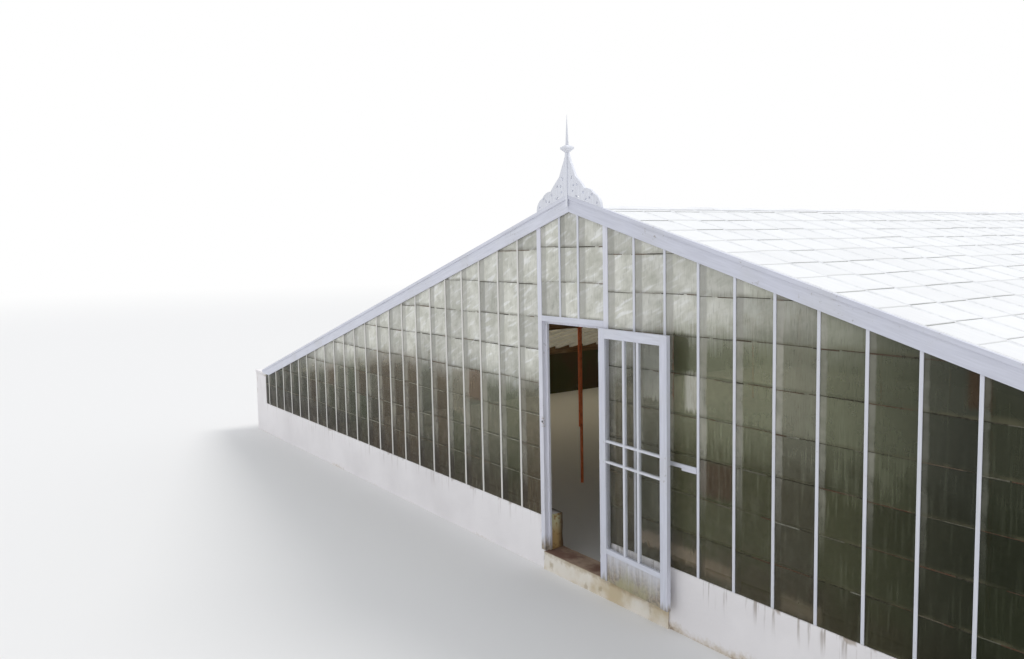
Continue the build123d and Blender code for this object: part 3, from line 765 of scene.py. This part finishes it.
def clip(outline, keep):
    """The part of an outline where keep(x, z) isn't negative; keep is linear."""
    kept = []
    for (x0, z0), (x1, z1) in zip(outline, outline[1:] + outline[:1]):
        a = keep(x0, z0)
        b = keep(x1, z1)
        if a >= 0:
            kept.append((x0, z0))
        if (a < 0) != (b < 0):
            share = a / (a - b)
            kept.append((x0 + (x1 - x0) * share, z0 + (z1 - z0) * share))
    return kept


def lap_column(panes, beads, low, high, head, heights, back, random):
    """One column of panes between two bars, each pane hanging over the one below.

    heights holds the lowest lap and the lap pitch; back turns the column round to the back gable.
    """
    lap_first, lap_pitch = heights
    laps = [low.z]
    step = 0
    while lap_first + step * lap_pitch < high.z:
        laps.append(lap_first + step * lap_pitch + random.uniform(-lap_waver, lap_waver))
        step += 1
    laps = [z for z in laps if z >= low.z] + [high.z + lap_pitch]
    tilt = glass_back - glass_front - pane_thickness
    for z_low, z_next in zip(laps, laps[1:]):
        foot = z_low - (lap_cover if z_low > low.z else 0)
        skew = random.uniform(-lap_waver, lap_waver) / 3 if z_low > low.z else 0
        outline = [(low.x, foot + skew), (high.x, foot - skew), (high.x, z_next), (low.x, z_next)]
        outline = clip(outline, lambda x, z: head - roof_rise * x - z)
        outline = clip(outline, lambda x, z: head + roof_rise * x - z)
        if len(outline) < 3 or max(z for x, z in outline) - foot < 2 * lap_cover:
            continue
        shade = random.random()
        marks = [(shade, (x - low.x) / (high.x - low.x), (z - foot) / (z_next - foot)) for x, z in outline]
        outer = []
        inner = []
        for x, z in outline:
            lean = tilt * (1 - min(1, max(0, (z - foot) / (z_next - foot))))
            y = glass_back - pane_thickness - lean
            outer.append((x, y, z))
            inner.append((x, y + pane_thickness, z))
        if back:
            outer, inner = ([(x, house_length - y, z) for x, y, z in side] for side in (outer, inner))
        panes.prism(outer, inner, marks)
        if foot + skew > low.z:
            lap_beads(beads, low.x, high.x, foot, skew, back, random)


def lap_beads(beads, x_low, x_high, foot, skew, back, random):
    """Broken beads of grime under the lower edge of a pane."""
    place = x_low
    while place < x_high:
        reach = min(x_high, place + random.uniform(*bead_run))
        kind = random.random()
        thick = bead_height * random.uniform(*bead_fullness)
        front = glass_front - bead_depth * random.uniform(*bead_bulge)
        rear = glass_front + pane_thickness
        level = foot + skew * (1 - 2 * (place - x_low) / (x_high - x_low))
        if back:
            front, rear = house_length - rear, house_length - front
        beads.block((place, reach), (front, rear), (level - thick, level), (kind, 0.0, 0.0))
        place = reach + (random.uniform(0.0, bead_gap) if random.random() < bead_gap_share else 0)


def gable_panes(name, nodes, material, grime, heights, back=False):
    """Replaces the plain sheets of a gable by lapped panes with grime in the laps."""
    random = Random(name)
    panes = Batch()
    beads = Batch()
    head = roof_top(0) - roof_sheet - pane_head_gap
    for node in nodes:
        for low, high in solid_boxes(node):
            lap_column(panes, beads, low, high, head, heights, back, random)
    panes.build(name + "_panes", material, "building", nodes)
    beads.build(name + "_lap_grime", grime, "building")


def slope_point(side, along, y, rise):
    """A place above a roof slope, along it from the ridge board; side is 1 on the right, -1 on the left."""
    x = ridge_face + along / slope_length
    return (side * x, y, roof_top(x) + rise)


def roof_column(panes, beads, side, low_y, high_y, reach, random):
    """One column of roof panes between two bars, from the ridge board down, with dirt and painted shade in
    the laps.
    """
    shift = random.uniform(-roof_lap_waver, roof_lap_waver)
    laps = [0.0]
    while laps[-1] + roof_lap_pitch < reach:
        laps.append(roof_lap_first + shift + roof_lap_pitch * (len(laps) - 1))
    laps[-1] = reach
    for start, end in zip(laps, laps[1:]):
        end = min(reach, end + random.uniform(-roof_end_waver, roof_end_waver))
        top = max(0.0, start - roof_lap_cover)
        shade = random.random()
        skew = random.uniform(-roof_end_skew, roof_end_skew)
        corners = [(top, low_y, 1.0, 0.0), (end + skew, low_y, 0.0, 0.0), (end - skew, high_y, 0.0, 1.0),
                   (top, high_y, 1.0, 1.0)]
        upper = []
        lower = []
        marks = []
        for along, y, height, across in corners:
            rise = -roof_sheet + roof_pane_thickness + roof_pane_lift * (1 - height)
            upper.append(slope_point(side, along, y, rise))
            lower.append(slope_point(side, along, y, rise - roof_pane_thickness))
            marks.append((shade, across, height))
        panes.prism(upper, lower, marks)
        if end < reach - roof_lap_pitch / 4:
            roof_bead(beads, side, (end + skew, low_y), (end - skew, high_y), random)


def roof_bead(beads, side, first, last, random):
    """A bead of dirt and painted lap shade under the lower edge of a roof pane; each end is given along the
    slope and in Y.
    """
    deep = roof_bead_depth * random.uniform(*bead_bulge)
    foot = -roof_sheet + roof_pane_lift
    crest = foot + roof_bead_height * roof_bead_crest
    upper = [slope_point(side, first[0] - deep, first[1], crest),
             slope_point(side, first[0] + deep, first[1], foot - roof_bead_toe),
             slope_point(side, last[0] + deep, last[1], foot - roof_bead_toe),
             slope_point(side, last[0] - deep, last[1], crest)]
    lower = [(x, y, z - roof_bead_height) for x, y, z in upper]
    beads.prism(upper, lower, [(random.random(), 0.0, 0.0)] * 4)


def putty_seam(seams, side, edge, inward, reach, random):
    """Putty along one roof bar, broken here and there; inward points from the bar to the glass."""
    along = 0.0
    while along < reach:
        stop = min(reach, along + random.uniform(*putty_run))
        wide = putty_width * random.uniform(*putty_spread)
        ends = []
        for point in (along, stop):
            ends.append([slope_point(side, point, edge - inward * putty_over_bar, putty_low),
                         slope_point(side, point, edge - inward * putty_over_bar, putty_crest),
                         slope_point(side, point, edge + inward * wide, putty_lip),
                         slope_point(side, point, edge + inward * wide, putty_low)])
        seams.prism(ends[0], ends[1], [(0.0, 0.0, 0.0)] * 4)
        along = stop + (random.uniform(0.0, putty_gap) if random.random() < putty_gap_share else 0)


def roof_panes(side, node, glass, grime, filler):
    """Columns of limewashed panes on one slope, with dirt and painted shade in the laps and putty at the
    bars.
    """
    random = Random(node)
    panes = Batch()
    beads = Batch()
    seams = Batch()
    reach = (eaves_reach - ridge_face) * slope_length
    for low, high in sorted(solid_boxes(node), key=lambda pair: pair[0].y):
        roof_column(panes, beads, side, low.y, high.y, reach, random)
        for edge, inward in ((low.y, 1), (high.y, -1)):
            putty_seam(seams, side, edge, inward, reach, random)
    word = "right" if side > 0 else "left"
    panes.build(f"roof_panes_{word}", glass, "building", [node])
    beads.build(f"roof_lap_grime_and_shade_{word}", grime, "building")
    seams.build(f"roof_putty_{word}", filler, "building")


def cut_small(mesh, low, high, cell):
    """Cuts a mesh by planes on all three axes, about a cell apart."""
    for axis in range(3):
        count = max(2, round((high[axis] - low[axis]) / cell))
        normal = Vector((axis == 0, axis == 1, axis == 2))
        for step in range(1, count):
            point = low.lerp(high, step / count)
            parts = mesh.verts[:] + mesh.edges[:] + mesh.faces[:]
            bmesh.ops.bisect_plane(mesh, geom=parts, dist=cut_tolerance, plane_co=point, plane_no=normal)


def plaster_wear(vert):
    """How far a point of the plaster moves out, and how deeply it is chipped."""
    place = vert.co
    swell = sum(share * noise.noise(place * scale) for scale, share in (broad_swell, fine_swell))
    out = plaster_unevenness * swell
    chip = 0.0
    inner_edges = [edge for edge in vert.link_edges if len(edge.link_faces) == 2]
    turned = any(edge.calc_face_angle() > arris_angle for edge in inner_edges)
    joined = abs(abs(place.x) - inner_half) < touch or place.z < touch
    if turned and not joined:
        chip = max(0.0, noise.noise(place * chip_scale + chip_seed) - chip_start)
        out -= arris_wear + chip * chip_depth
    if touch < place.z < sill_top:
        out -= plaster_unevenness * max(0.0, noise.noise(place * pit_scale)) * pit_share
    return out, chip


def hand_laid(name, node, material, cell):
    """A copy of a masonry node cut into small faces, moved in and out, and worn along its arrises."""
    mesh = bmesh.new()
    mesh.from_mesh(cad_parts[node].data)
    bmesh.ops.remove_doubles(mesh, verts=mesh.verts, dist=weld_distance)
    bmesh.ops.dissolve_limit(mesh, angle_limit=flat_angle, verts=mesh.verts, edges=mesh.edges)
    cut_small(mesh, *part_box(node), cell)
    mesh.normal_update()
    layer = mesh.verts.layers.float_color.new("mark")
    moves = []
    for vert in mesh.verts:
        out, chip = plaster_wear(vert)
        vert[layer] = (min(1.0, chip * chip_mark), 0.0, 0.0, 1.0)
        move = vert.normal * out
        if vert.co.z < touch:
            move.z = 0.0
        moves.append(move)
    for vert, move in zip(mesh.verts, moves):
        vert.co += move
    data = bpy.data.meshes.new(name)
    mesh.to_mesh(data)
    mesh.free()
    data.shade_smooth()
    data.set_sharp_from_angle(angle=smooth_angle)
    settle(name, data, material, "building", [node])


def masonry():
    """Plaster on the plinths, the eaves walls and the sill."""
    render = plaster()
    for node in ("plinth_right", "plinth_left", "back_plinth"):
        hand_laid(f"plastered_{node}", node, render, plaster_cell)
    for node in ("eaves_wall_right", "eaves_wall_left"):
        hand_laid(f"plastered_{node}", node, render, wall_cell)
    hand_laid("worn_door_sill", "door_sill", sill_stone(), sill_cell)


def gable_timber():
    """Paint on the gables' bars, the boards, the finial and the ridge."""
    upright = timber_paint("upright_white_paint", upright_grain)
    warm = timber_paint("left_bar_white_paint", upright_grain, white=(0.78, 0.76, 0.72))
    finial = timber_paint("finial_white_paint", upright_grain, white=(0.80, 0.81, 0.87))
    right = timber_paint("sloping_white_paint", sloping_grain, slope_angle, (0.67, 0.68, 0.765))
    left = timber_paint("other_sloping_white_paint", sloping_grain, -slope_angle, (0.73, 0.74, 0.82))
    dress(["front_bars_right", "back_bars", "over_door_bars"], upright, timber_bevel)
    dress(["door_glazing_bars"], upright, fine_bevel)
    dress(["front_bars_left"], warm, timber_bevel)
    dress(["finial_board", "finial_post", "finial_cap", "finial_spike"], finial, fine_bevel)
    dress(["front_bargeboard_right", "end_rafters_front", "back_bargeboards", "end_rafters_back"], right,
          timber_bevel)
    dress(["front_bargeboard_left"], left, timber_bevel)


def door_timber():
    """Paint on the doorway's frame and the leaf, stained near the sill."""
    jambs = timber_paint("door_frame_paint", upright_grain, white=(0.76, 0.76, 0.83), soiled=(0.17, 0.30))
    leaf = timber_paint("leaf_paint", upright_grain, white=(0.68, 0.69, 0.77), soiled=(0.14, 0.24))
    kick = timber_paint("kick_panel_paint", (80.0, 80.0, 5.0), white=(0.66, 0.66, 0.70), soiled=(0.18, 0.44))
    level = timber_paint("level_white_paint", (5.0, 70.0, 70.0), white=(0.69, 0.70, 0.775))
    dress(["door_jamb_right", "door_jamb_left", "door_stops"], jambs, timber_bevel)
    dress(["door_stiles"], leaf, timber_bevel)
    dress(["door_kick_panel"], kick, timber_bevel)
    dress(["door_lintel", "door_rails", "door_stay"], level, timber_bevel)


def roof_timber():
    """Limewash on the roof bars, paint on the ridge cap, and bare timber under the roof."""
    limed = timber_paint("limewashed_bar_paint", sloping_grain, slope_angle, (0.86, 0.86, 0.87))
    ridge = timber_paint("ridge_white_paint", (60.0, 4.0, 60.0), white=(0.88, 0.88, 0.90))
    dress(["roof_bars_right", "roof_bars_left"], limed)
    dress(["ridge_cap"], ridge)
    dress(["wall_plates", "ridge_board", "purlins", "tie_beams", "king_posts"], bare_timber(), timber_bevel)


def metal():
    """Posts, hinges and the latch keep."""
    dress(["posts_right", "posts_left"], red_iron())
    dress(["hinge_jamb_halves", "hinge_leaf_halves", "latch_keep"], painted_iron())


def glazing():
    """Panes of the gables, the leaf and the roof."""
    dirty = gable_glass()
    grime = lap_grime()
    gable_panes("front_right", ["front_glass_right"], dirty, grime, lap_right)
    gable_panes("front_left", ["front_glass_left"], dirty, grime, lap_left)
    gable_panes("over_door", ["over_door_glass"], dirty, grime, lap_over_door)
    gable_panes("back", ["back_glass"], dirty, grime, lap_right, back=True)
    dress(["door_glass"], clear_glass())
    lime = roof_limewash()
    filler = putty()
    # Dirt and painted shade in the roof's laps.
    dirt = roof_grime_and_gap_shade()
    roof_panes(1, "roof_glass_right", lime, dirt, filler)
    roof_panes(-1, "roof_glass_left", lime, dirt, filler)


def camera():
    """The photograph's own camera."""
    data = bpy.data.cameras.new("camera")
    data.sensor_width = sensor_width
    data.lens = focal_pixels * sensor_width / photo_width
    data.clip_end = camera_reach
    forward = Vector((math.sin(camera_yaw) * math.cos(camera_pitch),
                      math.cos(camera_yaw) * math.cos(camera_pitch),
                      -math.sin(camera_pitch)))
    level = Vector((math.cos(camera_yaw), -math.sin(camera_yaw), 0))
    upward = level.cross(forward)
    right = math.cos(camera_roll) * level + math.sin(camera_roll) * upward
    top = math.cos(camera_roll) * upward - math.sin(camera_roll) * level
    turn = Matrix((right, top, -forward)).transposed().to_4x4()
    piece = bpy.data.objects.new("camera", data)
    piece.matrix_world = Matrix.Translation(camera_place) @ turn
    bpy.context.scene.collection.objects.link(piece)
    bpy.context.scene.camera = piece


def floor():
    """A plain pale floor that fades into white."""
    graph = Graph("pale_floor", roughness=0.9, specular=0.1)
    graph.set("Base Color", (0.78, 0.77, 0.76))
    distance = graph.node("ShaderNodeVectorMath", operation="LENGTH")
    graph.put(distance.inputs[0], graph.place)
    graph.blend(graph.ramp(distance.outputs["Value"], *floor_fade), graph.node("ShaderNodeEmission"))
    mesh = bpy.data.meshes.new("floor")
    corners = [(-floor_half, -floor_half, 0), (floor_half, -floor_half, 0), (floor_half, floor_half, 0),
               (-floor_half, floor_half, 0)]
    mesh.from_pydata(corners, [], [(0, 1, 2, 3)])
    mesh.materials.append(graph.material)
    piece = bpy.data.objects.new("floor", mesh)
    bpy.context.scene.collection.objects.link(piece)


def sky():
    """A soft sky that is plain white where it is seen, mirrored or looked at through a pane."""
    world = bpy.data.worlds.new("world")
    bpy.context.scene.world = world
    world.use_nodes = True
    nodes = world.node_tree.nodes
    links = world.node_tree.links
    light = nodes["Background"]
    light.inputs["Color"].default_value = (*sky_colour, 1.0)
    light.inputs["Strength"].default_value = sky_strength
    backdrop = nodes.new("ShaderNodeBackground")
    backdrop.inputs["Color"].default_value = (1.0, 1.0, 1.0, 1.0)
    ray = nodes.new("ShaderNodeLightPath")
    both = nodes.new("ShaderNodeMixShader")
    seen = ray.outputs["Is Camera Ray"]
    for kind in ("Is Glossy Ray", "Is Transmission Ray"):
        either = nodes.new("ShaderNodeMath")
        either.operation = "MAXIMUM"
        links.new(seen, either.inputs[0])
        links.new(ray.outputs[kind], either.inputs[1])
        seen = either.outputs[0]
    links.new(seen, both.inputs[0])
    links.new(light.outputs[0], both.inputs[1])
    links.new(backdrop.outputs[0], both.inputs[2])
    links.new(both.outputs[0], nodes["World Output"].inputs[0])


def sun():
    """A broad soft sun from behind the house."""
    lamp = bpy.data.lights.new("soft_sun", "SUN")
    lamp.energy = sun_strength
    lamp.angle = sun_spread
    lamp.color = sun_colour
    piece = bpy.data.objects.new("soft_sun", lamp)
    piece.rotation_euler = sun_turn
    bpy.context.scene.collection.objects.link(piece)


bpy.context.scene.view_settings.view_transform = "Standard"
camera()
floor()
sky()
sun()
masonry()
gable_timber()
door_timber()
roof_timber()
metal()
glazing()
